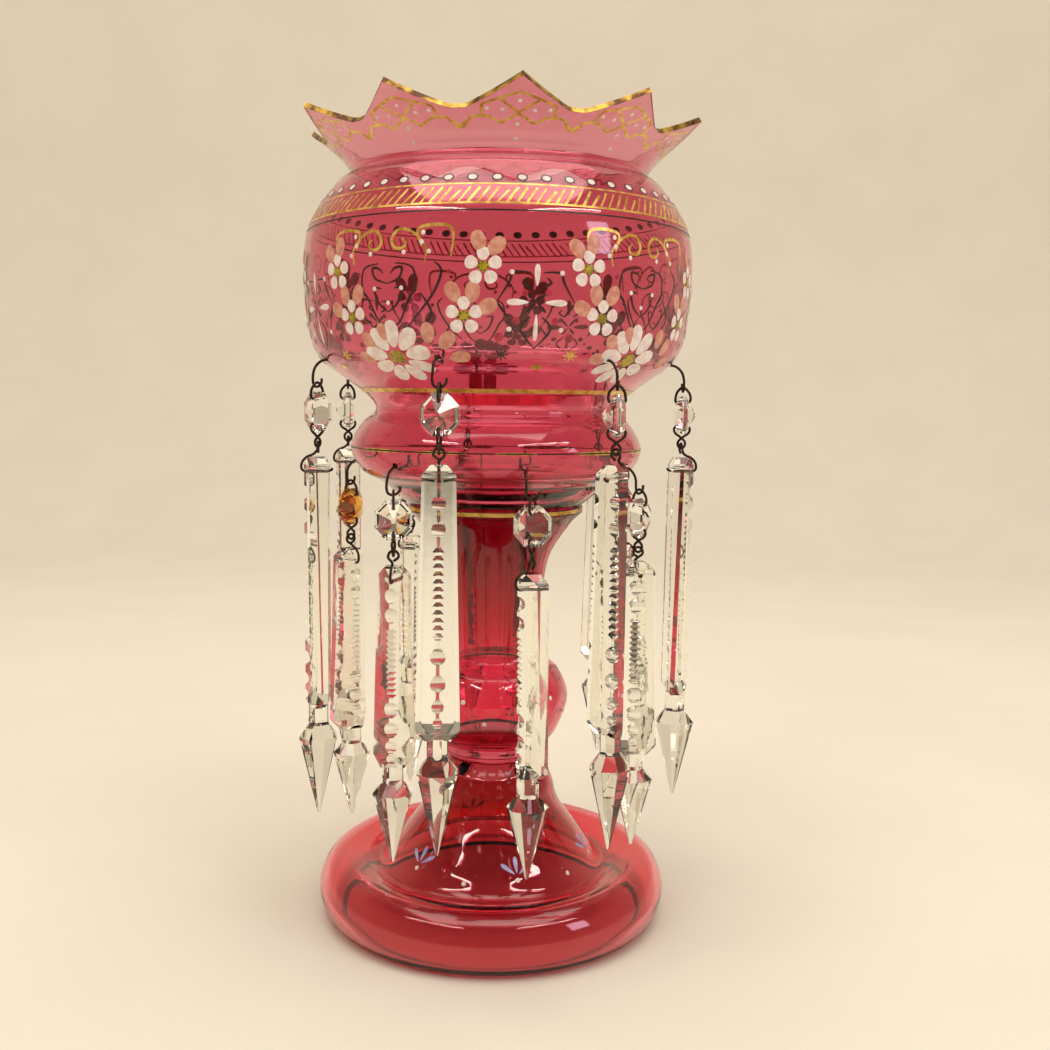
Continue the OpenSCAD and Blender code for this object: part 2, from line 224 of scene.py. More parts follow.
def moved_in(curve, wall):
    """The curve moved to its left side by the wall's thickness."""
    ahead = forward(curve)
    return curve + wall * np.stack([-ahead[:, 1], ahead[:, 0]], 1)


print("points of a curve through three sizes:", len(through([(0, 0), (1, 1), (0, 2)])))


# %% Spin an outline
def around(r, z, angle_deg):
    """A place in metres, from a radius and height in mm and an angle from the front."""
    a = math.radians(angle_deg)
    return r * math.sin(a) * MM, -r * math.cos(a) * MM, z * MM


def spun(bm, places, steps, closed=False, centre=(0, 0, 0)):
    """Spins a line of places once round the upright axis through the centre."""
    line = [bm.verts.new(place) for place in places]
    pairs = zip(line, line[1:] + line[:1]) if closed else zip(line, line[1:])
    edges = [bm.edges.new(pair) for pair in pairs]
    bmesh.ops.spin(bm, geom=line + edges, cent=centre, axis=(0, 0, 1), angle=2 * math.pi,
                   steps=steps, use_merge=True)


def closed_up(bm):
    """Merges the poles and the seam, and turns the faces outwards."""
    bmesh.ops.remove_doubles(bm, verts=bm.verts, dist=1e-6)
    bmesh.ops.dissolve_degenerate(bm, dist=1e-7, edges=bm.edges)
    bmesh.ops.recalc_face_normals(bm, faces=bm.faces)
    return bm


def turned(outline, steps, start_deg=0.0):
    """A closed bmesh spun from a half outline of radius and height."""
    bm = bmesh.new()
    spun(bm, [around(r, z, start_deg) for r, z in outline], steps, closed=True)
    return closed_up(bm)


print("100 mm out, at the front and at the right:", around(100, 0, 0), around(100, 0, 90))


# %% From bmesh to piece
edge_deg = 35


def new_object(name, bm, material):
    """A smooth object at the origin, with its place in its mesh."""
    mesh = bpy.data.meshes.new(name)
    bm.to_mesh(mesh)
    bm.free()
    mesh.materials.append(material)
    for face in mesh.polygons:
        face.use_smooth = True
    made = bpy.data.objects.new(name, mesh)
    bpy.context.collection.objects.link(made)
    return made


def new_piece(name, bm, material, sharp_deg=edge_deg, body=ROOT):
    """A piece of the lustre with sharp edges over an angle, riding on a body."""
    piece = new_object(name, bm, material)
    piece.data.set_sharp_from_angle(angle=math.radians(sharp_deg))
    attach(piece, body)
    return piece


# %% [markdown]
# ## The bowl and its crown
# The vase body is blown into a mould and its rim is flared. Then the crown is cut: ten points, straight
# edged, with small flat valleys. A boolean with a star could cut it, but that leaves long thin faces that
# shade badly. Here the rim is spun to the full flare first. Each vertex of the flare is then drawn down
# along the outline until the rim ends on the star, so the glass keeps its own curve.

# %% Sizes of the bowl
joint_r, joint_z = 34.5, 164.5
bulb_r, bulb_z, waist_r, waist_z = 56.5, 186.0, 47.0, 200.5
# The construction model's bowl is 0.4 mm wider: that space is left for the raised paint.
bowl_r, bowl_z, neck_r, neck_z = 74.1, 254.0, 56.5, 288.0
crown_r, crown_z, valley_r, valley_w = 76.0, 307.0, 65.3, 6.0
crown_points, crown_turn = 10, 6.0
bowl_wall, bowl_floor, seam, bowl_steps = 2.0, 7.0, 0.05, 240
bowl_curve = through([
    (joint_r, joint_z), (44, joint_z + 7.8), (bulb_r - 4.3, bulb_z - 9), (bulb_r, bulb_z),
    (bulb_r - 4.5, bulb_z + 9.5), (waist_r, waist_z), (waist_r + 4.5, waist_z + 6.3),
    (bowl_r - 13.5, waist_z + 13), (bowl_r - 6, waist_z + 19), (bowl_r - 2.2, waist_z + 28.5),
    (bowl_r - 0.6, bowl_z - 13), (bowl_r, bowl_z), (bowl_r - 1.2, neck_z - 22.4),
    (bowl_r - 5.4, neck_z - 13.4), (neck_r + 5.4, neck_z - 4.3), (neck_r, neck_z),
    (neck_r + 1.7, neck_z + 4), (neck_r + 5, neck_z + 8), (crown_r - 10, crown_z - 7), (crown_r, crown_z)])
bowl_inside = moved_in(bowl_curve, bowl_wall)
print("bowl outline points:", len(bowl_curve))

# %% Star of the crown
pitch = 360 / crown_points


def star_radius(angle_deg):
    """Distance of the cut rim from the axis at an angle from the front."""
    off = abs((angle_deg - crown_turn + pitch / 2) % pitch - pitch / 2)
    flat = math.degrees(math.asin(valley_w / 2 / valley_r))
    if off >= pitch / 2 - flat:
        return valley_r * math.cos(math.radians(flat)) / math.cos(math.radians(pitch / 2 - off))
    corner = math.radians(pitch / 2 - flat)
    x, y = valley_r * math.cos(corner), valley_r * math.sin(corner)
    f = math.radians(off)
    return crown_r * y / (y * math.cos(f) + (crown_r - x) * math.sin(f))


print("star radius from point to valley:",
      [round(star_radius(crown_turn + pitch * k / 8), 1) for k in range(5)])


# %% Draw the flare down to the star
# How far below the neck its narrowest place is looked for, and how far over and outside it stays round.
below_neck, over_neck, out_of_neck = 8.0, 0.5, 3.0
# A vertex counts as part of a wall when it lies within this distance of its outline.
on_wall = 0.9


def flare_of(curve):
    """The outline from the narrowest place of the neck up to the rim."""
    return curve[np.argmin(np.where(curve[:, 1] > neck_z - below_neck, curve[:, 0], np.inf)):]


flares = [flare_of(bowl_curve), flare_of(bowl_inside)]
print("points of the flare, outside and inside:", [len(f) for f in flares])


def cut_crown(vertex):
    """Draws one vertex of the flare down along its own wall to meet the star."""
    r, z = math.hypot(vertex.co.x, vertex.co.y) / MM, vertex.co.z / MM
    if z < neck_z + over_neck and r < neck_r + out_of_neck:
        return
    away, near = min((np.hypot(f[:, 0] - r, f[:, 1] - z).min(), i) for i, f in enumerate(flares))
    flare = flares[near]
    if away > on_wall or z < flare[0][1]:
        return
    angle = math.degrees(math.atan2(vertex.co.x, -vertex.co.y))
    tip, low = flare[-1][0], flare[0][0]
    end = star_radius(angle) - (crown_r - tip)
    new_r = low + (r - low) * (end - low) / (tip - low)
    new_z = float(np.interp(new_r, flare[:, 0], flare[:, 1]))
    vertex.co.x *= new_r / r
    vertex.co.y *= new_r / r
    vertex.co.z = new_z * MM


# %% Turn the bowl
floor_at = int(np.argmax(bowl_curve[:, 1] > joint_z + bowl_floor))
wall_in = bowl_inside[floor_at:]
vase = [(0, joint_z + seam), (joint_r, joint_z + seam), *bowl_curve[1:], *wall_in[::-1], (0, wall_in[0][1])]
bm = turned(vase, steps=bowl_steps, start_deg=crown_turn)
for v in bm.verts:
    cut_crown(v)
bmesh.ops.recalc_face_normals(bm, faces=bm.faces)
print("bowl faces:", len(bm.faces))
bowl = new_piece("cranberry_bowl", bm, bowl_glass)
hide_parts("bowl")

# %% [markdown]
# Fourteen small holes are drilled for the hooks, seven through the shoulder's underside and seven
# through the bulb. Round holes in a curved wall are hard to model by hand, so a bundle of thin rods is
# taken away from the finished bowl by a boolean, and the result becomes its mesh.

# %% Where the pendants hang
per_row = 7
# A row's radius of the hanging wire, radius of the hook's inner end, height of the holes, and turn.
hangs = {"upper": (72.5, 61.0, 218.5, -16.7), "lower": (59.0, 47.5, 180.5, 10.8)}


def turn_z(angle_deg):
    """A turn about the upright axis."""
    return Matrix.Rotation(math.radians(angle_deg), 4, "Z")


print("pendants:", per_row * len(hangs), "every", round(360 / per_row, 2), "degrees in a row")

# %% Drill the hook holes
hole_r, rod_len, rod_before = 1.15, 30.0, 3.0
lying = Matrix.Rotation(math.pi / 2, 4, "X")
bm = bmesh.new()
for _, reach_r, hole_z, turn in hangs.values():
    out = Matrix.Translation((0, 0, (reach_r - rod_before + rod_len / 2) * MM))
    for k in range(per_row):
        at = Matrix.Translation((0, 0, hole_z * MM)) @ turn_z(turn + k * 360 / per_row) @ lying @ out
        bmesh.ops.create_cone(bm, cap_ends=True, segments=20, radius1=hole_r * MM, radius2=hole_r * MM,
                              depth=rod_len * MM, matrix=at)
rods_mesh = bpy.data.meshes.new("rods")
bm.to_mesh(rods_mesh)
bm.free()
rods = bpy.data.objects.new("rods", rods_mesh)
bpy.context.collection.objects.link(rods)
drill = bowl.modifiers.new("drill", "BOOLEAN")
drill.object, drill.operation, drill.solver = rods, "DIFFERENCE", "EXACT"
drilled = bpy.data.meshes.new_from_object(bowl.evaluated_get(bpy.context.evaluated_depsgraph_get()))
bowl.modifiers.clear()
bowl.data = drilled
bpy.data.objects.remove(rods)
drilled.set_sharp_from_angle(angle=math.radians(edge_deg))
print("bowl with holes:", len(drilled.polygons))

# %% [markdown]
# ## Stem, ring and foot
# The stem is a trumpet that runs into a hollow ball, the knop. A solid ring of glass, the merese, joins
# it to the foot. The foot is a bell with a rolled rim, open underneath, so light from the table comes
# up through it. They are turned like the bowl. The real joints are welded hot. Here a hair of space is
# left at each, because two glass faces in one place leave dark specks.

# %% Sizes and outlines of stem and foot
collar_r, collar_h, collar_edge = 34.3, 4.0, 0.8
stem_r, knop_r, knop_z, stem_wall = 17.8, 29.7, 87.5, 2.6
merese_top, merese_base, merese_r = 69.5, 63.0, 21.3
foot_r, foot_h, rest_r, foot_wall, foot_plug = 69.3, 23.5, 62.0, 2.8, 6.0
stem_steps, merese_steps, foot_steps = 144, 96, 192
stem_curve = through([
    (merese_r - 0.3, merese_top + seam), (knop_r - 4, knop_z - 13), (knop_r, knop_z),
    (knop_r - 4, knop_z + 10.5), (stem_r + 2.2, knop_z + 14.3), (stem_r, knop_z + 18), (stem_r + 0.5, 116),
    (stem_r + 1.7, 132.3), (stem_r + 4.3, 144.4), (stem_r + 11.4, 155.7),
    (collar_r - 1.2, joint_z - collar_h - 0.4)])
foot_curve = through([
    (rest_r, 0), (foot_r - 2.6, 3), (foot_r, 11), (foot_r - 3.2, foot_h - 3.6), (foot_r - 10, foot_h),
    (foot_r - 18, foot_h - 1.6), (45, foot_h - 3.4), (39.5, foot_h + 3), (34.4, 33), (28, 41.7),
    (25.5, 47.2), (24.2, 52.6), (21.5, 58.5), (merese_r - 3.8, merese_base - seam)])
print("stem and foot outline points:", len(stem_curve), len(foot_curve))

# %% Turn the stem
inside = moved_in(stem_curve, stem_wall)
inside = inside[(inside[:, 1] > merese_top + 0.6) & (inside[:, 1] < joint_z - collar_h - 1)]
top = joint_z - seam
collar = [(collar_r, top - collar_h + collar_edge), (collar_r, top - collar_edge),
          (collar_r - collar_edge, top), (collar_r - 5.5, top)]
stem_base = (merese_r - 0.3 - stem_wall, merese_top + seam)
stem_outline = [*stem_curve, *collar, *inside[::-1], stem_base]
stem = new_piece("trumpet_stem", turned(stem_outline, stem_steps), stem_glass)
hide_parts("stem")
print("stem faces:", len(stem.data.polygons))

# %% Turn the merese and the foot
middle = (merese_top + merese_base) / 2
merese = new_piece("merese_ring", turned([
    (0, merese_base + seam), (merese_r - 3.8, merese_base + seam), (merese_r - 1.6, middle - 1.6),
    (merese_r, middle), (merese_r + 0.2, middle + 1.2), (merese_r - 0.2, merese_top - 0.6),
    (merese_r - 0.8, merese_top - seam), (0, merese_top - seam)], merese_steps), stem_glass, sharp_deg=60)
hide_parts("merese")

under = moved_in(foot_curve, foot_wall)
under = under[(under[:, 1] > 1) & (under[:, 1] < merese_base - foot_plug)]
plug = [(0, merese_base - seam), (0, merese_base - foot_plug)]
foot_outline = [(rest_r - 3, 0), *foot_curve, *plug, *under[::-1]]
foot = new_piece("bell_foot", turned(foot_outline, foot_steps), foot_glass)
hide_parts("foot")
print("merese and foot faces:", [len(p.data.polygons) for p in (merese, foot)])

# %% [markdown]
# ## Crystal
# The beads and prisms are ground on a wheel, which leaves flat faces and sharp edges. They could be cut
# again here, but the construction model has those already, with their bores. So its own pieces are kept
# and only get their finish. One bead in the lower row is amber: a later replacement that the photograph
# shows.

# %% Finish the crystal
for name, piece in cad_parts.items():
    if "bead" in name or "prism" in name:
        piece.data.materials.clear()
        piece.data.materials.append(amber if name == "lower_bead_6" else crystal)
print("crystal pieces:", sum("bead" in n or "prism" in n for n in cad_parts))

# %% [markdown]
# ## Wire
# The pendants hang on soft iron wire, bent by hand with pliers, so no bend is square. A pipe could be
# extruded along each bend, but a Bezier curve with a round section does that by itself: it needs only
# the points that the pliers held. The hook turns in its hole in the glass, a loop holds the bead to the
# hook, a figure of eight holds the bead from below, and a pin runs through the prism's bore with an eye
# at one end. A hook's points count from its hole, with y towards the vase. A link's count from the hook's
# eye and turn with it. The curve is made a mesh at the end, so that the exported piece is what is seen.

# %% Sizes of the wires
wire_r, bend_r, wire_gap, hook_drop = 0.5, 1.5, 0.4, 10.0
# The construction model's wire is a little thicker, and its bends give the places of the chain.
frame_wire_r = 0.55
hook_off = frame_wire_r + bend_r + wire_gap
bead_h, bead_hole, bead_mid, prism_mid = 14.4, 2.5, -9.0, -30.5
bead_top = bead_mid + bead_h / 2 - bead_hole
bead_low = bead_mid - bead_h / 2 + bead_hole
ring_z = prism_mid + 8.5
# Turn of each hook's eye and of each prism's pin in degrees, as the construction model has them.
twists = {"upper": (10, -125, 4, 20, -10, 40, 28), "lower": (-34, -12, 15, -12, 10, 150, 46)}
swivels = {"upper": (190, 220, 3, 10, 20, -15, -45), "lower": (-45, 140, -20, 15, 25, -20, -10)}
print("heights under the hook's eye:", [round(z, 1) for z in (bead_top, bead_low, ring_z, prism_mid)])


# %% Bend a wire
def wire(curve, hanging, points, closed=False):
    """Adds one bent wire to a curve; hanging is the matrix of the pendant's frame."""
    spline = curve.splines.new("BEZIER")
    spline.bezier_points.add(len(points) - 1)
    for knot, point in zip(spline.bezier_points, points):
        knot.co = hanging @ Vector(point) * MM
        knot.handle_left_type = knot.handle_right_type = "AUTO"
    spline.use_cyclic_u = closed


def wire_piece(name, body, wires):
    """The wires as one round mesh that stands for a node and moves with its body."""
    curve = bpy.data.curves.new(name + "_path", "CURVE")
    curve.dimensions, curve.use_fill_caps = "3D", True
    curve.bevel_depth, curve.bevel_resolution, curve.resolution_u = wire_r * MM, 2, 5
    for bend in wires:
        wire(curve, *bend)
    path = bpy.data.objects.new(name + "_path", curve)
    bm = bmesh.new()
    bm.from_mesh(path.to_mesh())
    bmesh.ops.remove_doubles(bm, verts=bm.verts, dist=1e-7)
    bmesh.ops.recalc_face_normals(bm, faces=bm.faces)
    path.to_mesh_clear()
    bpy.data.objects.remove(path)
    piece = new_piece(name + "_bent", bm, iron, body=body)
    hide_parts(name)


print("wire thickness in mm:", 2 * wire_r)

# %% The bends
loop = [(0, 0, 1.5), (0, 1.5, 0.6), (0, 2.7, -2.2), (0, 2.4, bead_top), (0, -2.4, bead_top),
        (0, -3.1, -2.4), (0, -1.6, 0.6)]
eight = [(0, 0, bead_low), (0, 2.5, bead_low + 0.1), (0, 2.9, -15.4), (0.55, 0.4, -17.7), (0.3, -1.5, -20),
         (0, 0, ring_z), (-0.3, 1.5, -20), (-0.55, -0.4, -17.7), (0, -3, -15.4), (0, -2.6, bead_low + 0.1)]
pin = [(0.1, 0.2, ring_z - 1.9), (1.9, 0.3, ring_z + 0.1), (0, 0.1, ring_z + 1.9), (-1.9, 0, ring_z - 0.1),
       (-0.2, -1.2, ring_z - 2.3), (0, -4.4, ring_z - 4), (0, -6, ring_z - 6.6), (0, -5.5, prism_mid - 0.1),
       (0, 0, prism_mid), (0, 4.9, prism_mid), (0, 5.3, prism_mid + 0.8)]
open_eye = [(0, 0, -hook_drop + 2.4), (0.6, 0, -hook_drop + 0.5), (hook_off, 0, -hook_drop),
            (2 * hook_off - 0.4, 0, -hook_drop + 1.2), (2 * hook_off, 0, -hook_drop + 3)]


def shank(reach):
    """The hook from its turned up end inside the glass, through the hole and down."""
    return [(0, reach, 3.8), (0, reach - 0.4, 0.6), (0, reach / 2, 0), (0, 3.4, -0.5), (0, 1.2, -2.4),
            (0.1, 0.2, -4.8)]


print("points held by the pliers:", [len(bend) for bend in (shank(1), open_eye, loop, eight, pin)])

# %% Bend the hooks and links
for row, (hang_r, reach_r, hole_z, turn) in hangs.items():
    for k in range(per_row):
        angle = turn + k * 360 / per_row
        a = math.radians(angle)
        hung = Matrix.Translation((hang_r * math.sin(a), -hang_r * math.cos(a), hole_z)) @ turn_z(angle)
        twist = turn_z(twists[row][k])
        hook = shank(hang_r - reach_r) + [twist @ Vector(p) for p in open_eye]
        wire_piece(f"{row}_hook_{k + 1}", f"{row}_hook_{k + 1}", [(hung, hook)])
        chain = hung @ twist @ Matrix.Translation((hook_off, 0, -hook_drop))
        wire_piece(f"{row}_links_{k + 1}", f"{row}_drop_{k + 1}", [
            (chain, loop, True), (chain, eight, True), (chain @ turn_z(swivels[row][k]), pin)])
print("bent wires:", per_row * len(hangs) * 4)

# %% [markdown]
# ## Painting on the glass
# Enamel and gold lie on the glass in low relief. An image could carry them, but then they would be flat
# and vanish from the side. So every stroke is drawn flat first, in millimetres along the ring and along
# the outline, and then wrapped onto the turned surface. A dab is a small disc with a raised middle. A
# stroke is a narrow grid that follows a few points. Each paint collects in one mesh until it is fired.

# %% The painter's surface
class Ground:
    """An outline that paint is laid on: arc length along it gives radius, height and outward normal."""

    def __init__(self, curve):
        self.curve = curve
        self.s = np.concatenate([[0], np.cumsum(np.linalg.norm(np.diff(curve, axis=0), axis=1))])
        ahead = forward(curve)
        self.normal = np.stack([ahead[:, 1], -ahead[:, 0]], 1)

    def at_height(self, z):
        """Arc length where the outline first reaches this height."""
        return float(self.s[np.argmax(self.curve[:, 1] >= z)])

    def radius(self, s):
        """Distance from the axis at an arc length."""
        return float(np.interp(s, self.s, self.curve[:, 0]))

    def place(self, angle_deg, s, across, lift):
        """A place in metres: across is a distance along the ring, lift a height over the glass."""
        r, z = self.radius(s), np.interp(s, self.s, self.curve[:, 1])
        nr, nz = (np.interp(s, self.s, self.normal[:, i]) for i in (0, 1))
        return around(r + nr * lift, z + nz * lift, angle_deg + math.degrees(across / r))


vase_ground, foot_ground, knop_ground = Ground(bowl_curve), Ground(foot_curve), Ground(stem_curve)
wet = {paint: bmesh.new() for paint in paints}
# The edge of a dab lies this far over the glass, so that the two never share a place.
skin = 0.04
print("outline lengths in mm:", [round(g.s[-1], 1) for g in (vase_ground, foot_ground, knop_ground)])

# %% Dabs
# The ruby dab under thick enamel is a painted shade for the back of the paint, and is this much smaller
# than the dab on top.
under_len, under_w = 0.97, 0.95


def dab(paint, ground, angle, s, length, width, turn=0.0, push=0.0, taper=0.0, rise=0.25, lift=0.0,
        sides=12):
    """A raised dab: an ellipse, narrowed towards its foot by taper, pushed out from its place."""
    made = bmesh.ops.create_circle(wet[paint], cap_ends=True, cap_tris=True, segments=sides, radius=1)
    t = math.radians(turn)
    for v in made["verts"]:
        x, y = v.co.x, v.co.y
        middle_rise = rise if math.hypot(x, y) < 0.5 else 0.0
        x *= width / 2 * (1 - taper * (1 - y) / 2)
        y = y * length / 2 + push
        along, across = y * math.cos(t) - x * math.sin(t), x * math.cos(t) + y * math.sin(t)
        v.co = ground.place(angle, s + along, across, skin + lift + middle_rise)


def thick_dab(paint, angle, s, length, width, turn, push, taper, rise=0.3, lift=0.05):
    """Thick enamel on the bowl over a slightly smaller ruby dab, a painted shade: the dim red that the back
    of the paint shows through the glass.
    """
    dab("ruby", vase_ground, angle, s, length * under_len, width * under_w, turn, push, taper, rise=0.02)
    dab(paint, vase_ground, angle, s, length, width, turn, push, taper, rise=rise, lift=lift)


def pearl(ground, angle, s, size, rise=0.25, sides=8):
    """A small round drop of white enamel."""
    dab("white", ground, angle, s, size, size, rise=rise, sides=sides)


print("paints on the table:", list(wet))

# %% Strokes and bands
band_steps = 160


def stroke(paint, ground, points, width, steps=16, swell=0.0):
    """A line through points of angle and arc length; swell thins its two ends, as a brush does."""
    path = through(points, per_span=max(2, steps // max(1, len(points) - 1)))
    n = len(path) - 1
    made = bmesh.ops.create_grid(wet[paint], x_segments=n, y_segments=1, size=1)
    for v in made["verts"]:
        i = int(round((v.co.x + 1) / 2 * n))
        a, b = path[max(i - 1, 0)], path[min(i + 1, n)]
        d = np.array([math.radians(b[0] - a[0]) * ground.radius(path[i][1]), b[1] - a[1]])
        d /= np.linalg.norm(d) + 1e-9
        side = width / 2 * (1 - swell + swell * math.sin(math.pi * i / n)) * (1 if v.co.y > 0 else -1)
        v.co = ground.place(path[i][0], path[i][1] + d[0] * side, -d[1] * side, skin)


def band(paint, ground, s, width):
    """A painted ring all round the glass."""
    spun(wet[paint], [ground.place(0, s + k * width / 2, 0, skin) for k in (-1, 0, 1)], band_steps)


print("faces of a band:", 2 * band_steps)

# %% [markdown]
# The shoulder carries a row of white dots with a dark edge, a band of slanted gold hatching between two
# gold lines, and a thin dark line. Gold lines also mark the waist, the bulb and the top of the stem.
# The line on the bulb is worn to a dark hair with arcs of gold left on it. The hatching is uneven, as
# a quick brush leaves it: its length and width step through short cycles, so each run paints the same.

# %% Paint the bands of the shoulder
bowl_s = vase_ground.at_height
dot_count, dot_z = 52, 276.6
hatch_count, hatch_low, hatch_high, hatch_lean = 140, 267.8, 272.2, 3.2
for k in range(dot_count):
    a = k * 360 / dot_count
    dab("umber", vase_ground, a, bowl_s(dot_z), 3.4, 3.9, rise=0.05)
    dab("white", vase_ground, a, bowl_s(dot_z), 2.3, 2.8, rise=0.3, lift=0.06)
for k in range(hatch_count):
    a, end_z, width = k * 360 / hatch_count, hatch_high + k * 7 % 5 * 0.25, 0.65 + k * 3 % 4 * 0.1
    stroke("gold", vase_ground, [(a, bowl_s(hatch_low)), (a + hatch_lean, bowl_s(end_z))], width, steps=4)
print("dots and hatches:", dot_count, hatch_count)

# %% Paint the lines
arc_count, bulb_line_z = 12, 185.6
for z, width in ((273.7, 0.6), (267.2, 0.7), (206.9, 2.2)):
    band("gold", vase_ground, bowl_s(z), width)
band("umber", vase_ground, bowl_s(bulb_line_z), 0.5)
for k in range(arc_count):
    a, length, width = k * 360 / arc_count, 15 + 5 * (k * 5 % 3), 0.9 + 0.5 * (k * 7 % 4) / 3
    arc = [(a, bowl_s(bulb_line_z)), (a + length, bowl_s(bulb_line_z + 0.1))]
    stroke("gold", vase_ground, arc, width, swell=0.7)
band("umber", vase_ground, bowl_s(265.2), 0.6)
collar_side = [(collar_r, top - collar_h + collar_edge), (collar_r, top - 2), (collar_r, top - collar_edge)]
band("gold", Ground(np.array(collar_side)), 1.2, 1.4)
print("gold faces so far:", len(wet["gold"].faces))

# %% [markdown]
# The main frieze repeats five times round a cross of four white drops. On each side of a cross a spray
# climbs: a large daisy low on the bowl, two small five petal flowers, and round salmon leaves. The gold
# panel between two sprays has a square frame, a pair of volutes and a dark urn with a curl inside.
# The painter worked by turning the vase, so one side of a spray is drawn and its mirror image follows.

# %% Paint one flower
petal_len, petal_push, petal_taper, seeds = 0.7, 0.63, 0.35, 7


def flower(angle, z, petals, reach, width, heart):
    """Round petals, every other one laid over its neighbours, and a yellow heart with dark seeds."""
    s = bowl_s(z)
    for k in range(petals):
        thick_dab("white", angle, s, reach * petal_len, width, 360 / petals * k, reach * petal_push,
                  petal_taper, lift=0.05 + 0.05 * (k % 2))
    dab("olive", vase_ground, angle, s, heart * 2, heart * 2.2, rise=0.3, lift=0.2)
    for k in range(seeds):
        dab("umber", vase_ground, angle, s, 0.8, 0.4, k * 360 / seeds, heart * 0.8, rise=0.06, lift=0.4,
            sides=6)


print("seeds in a heart:", seeds)

# %% Plan the sprays and crosses
repeats, cross_turn, cross_z, half_repeat = 5, 10.5, 235.0, 32
leaf_len, leaf_w = 7.3, 5.6
# Leaves are angle from the cross, height and turn. Lines are angles and heights.
leaves = [(15, 254.8, 15), (10.5, 252.9, -45), (21.6, 239, 30), (16.5, 238.8, -10), (12.8, 234.5, -65),
          (29, 226, 0), (23.8, 223, -40), (20.5, 218, -80)]
lozenge = [[(0, 221.2), (4, 226.6), (1.5, 231.4)], [(10.3, 236.3), (7.2, 241.4), (6, 245.3), (1.6, 245.4)],
           [(10.3, 236.3), (7.6, 230.6)], [(1.5, 239.5), (3.6, 241.5), (2.6, 243.6)]]
# The cross's drops are turn, distance from the middle, length and width.
drops = [(0, 8.8, 7.2, 2.7), (180, 8.2, 9.2, 2.1), (-90, 6.2, 7.4, 2.9), (90, 6.6, 7.6, 3.0)]


def mirrored(middle, side, line):
    """A line of angles and heights on one side of a middle, as angles and arc lengths."""
    return [(middle + side * a, bowl_s(z)) for a, z in line]


print("leaves on the bowl:", len(leaves) * 2 * repeats)

# %% Paint sprays and crosses
for k in range(repeats):
    cross = cross_turn + k * 360 / repeats
    flower(cross + half_repeat, 218.2, 9, 13.6, 7.0, 2.9)
    for side in (-1, 1):
        for a, z in ((18.8, 230.8), (13.8, 246.6)):
            flower(cross + side * a, z, 5, 6.4, 5.2, 1.8)
        for a, z, turn in leaves:
            thick_dab("salmon", cross + side * a, bowl_s(z), leaf_len, leaf_w, side * turn, 0, 0.2)
        for line in lozenge:
            stroke("umber", vase_ground, mirrored(cross, side, line), 0.95, steps=12, swell=0.7)
        for a, s in mirrored(cross, side, ((6.5, 244.5), (7, 227.3))):
            pearl(vase_ground, a, s, 1.7, rise=0.35, sides=10)
        for a, z, size in ((5.2, 229.5, 2.5), (9.6, 225, 3.0), (22.5, 245.5, 1.6), (3, 238, 2.2)):
            dab("ruby", vase_ground, cross + side * a, bowl_s(z), size, size, rise=0.05)
    for turn in (45, 135, 225, 315):
        dab("umber", vase_ground, cross, bowl_s(cross_z), 4.2, 1.5, turn, 2.4, 0.6, rise=0.05)
    for turn, push, length, width in drops:
        thick_dab("white", cross, bowl_s(cross_z), length, width, turn, push, 0.6, rise=0.4)
    for a, paint in ((-9, "umber"), (11, "gold")):
        for turn in range(0, 180, 45):
            dab(paint, vase_ground, cross + a, bowl_s(219.4), 5.6, 0.7, turn, rise=0.1)
    dab("gold", vase_ground, cross + 2, bowl_s(215.4), 2.8, 4.2, rise=0.1)
print("white and salmon faces so far:", len(wet["white"].faces), len(wet["salmon"].faces))

# %% Paint the scroll panels
frames = [[(18, 250.5), (18, 259.8), (9.5, 259.8), (10.2, 253.2)],
          [(11, 248), (11.4, 253), (8, 257.4), (4, 258.6), (1.6, 256), (2.6, 253.2), (5, 253), (5.8, 255),
           (4.6, 256)]]
urn = [[(2.6, 249), (7.6, 246.5), (8.4, 241), (6.6, 236.5), (3.4, 229.5), (0, 226.5)],
       [(0, 232), (3, 236), (4.2, 239.5), (2, 241)],
       [(0, 241.5), (3.6, 243), (4.6, 246), (2.6, 247.4), (1.2, 245.6)],
       [(9.6, 238), (12.5, 232), (10.5, 228)], [(5, 226.5), (12.5, 237), (15.5, 245.5), (13.6, 249)]]
panel_pearls = ((10.6, 258), (10.2, 254.6), (12.2, 251.4), (5.2, 251), (4.2, 241))
for k in range(repeats):
    mid = cross_turn + half_repeat + k * 360 / repeats
    for side in (-1, 1):
        for paint, lines, width in (("gold", frames, 1.1), ("umber", urn, 0.95)):
            for line in lines:
                stroke(paint, vase_ground, mirrored(mid, side, line), width, steps=24, swell=0.6)
        for a, s in mirrored(mid, side, panel_pearls):
            pearl(vase_ground, a, s, 1.6, rise=0.35, sides=10)
    pearl(vase_ground, mid, bowl_s(236), 1.5, rise=0.35, sides=10)
print("scroll lines:", (len(frames) + len(urn)) * 2 * repeats)

# %% [markdown]
# Under each crown point runs a gold honeycomb line with small pale dots. It hangs from the tip of its
# point, so it is measured across and down from there, in millimetres.

# %% Paint the crown
tip_s = vase_ground.s[-1]
comb = [(-21.4, 18.5), (-18, 20.6), (-15.5, 16.5), (-10, 16.5), (-5.5, 19), (0, 15.4), (5.5, 19),
        (10, 16.5), (15.5, 16.5), (18, 20.6), (21.4, 18.5)]
cells = [[(-12.4, 16.4), (-12.4, 11.8), (0, 6.8), (12.4, 11.8), (12.4, 16.4)],
         [(-6.4, 10), (0, 15.2), (6.4, 10)], comb]
pearls = [(0, 10.4), (-5.4, 14), (5.4, 14), (0, 19.4), (0, 24.5), (-10.5, 13.6), (10.5, 13.6)]


def under_tip(middle, across, down):
    """Angle and arc length of a place across and down from a tip of the crown."""
    s = tip_s - down
    return middle + math.degrees(across / vase_ground.radius(s)), s


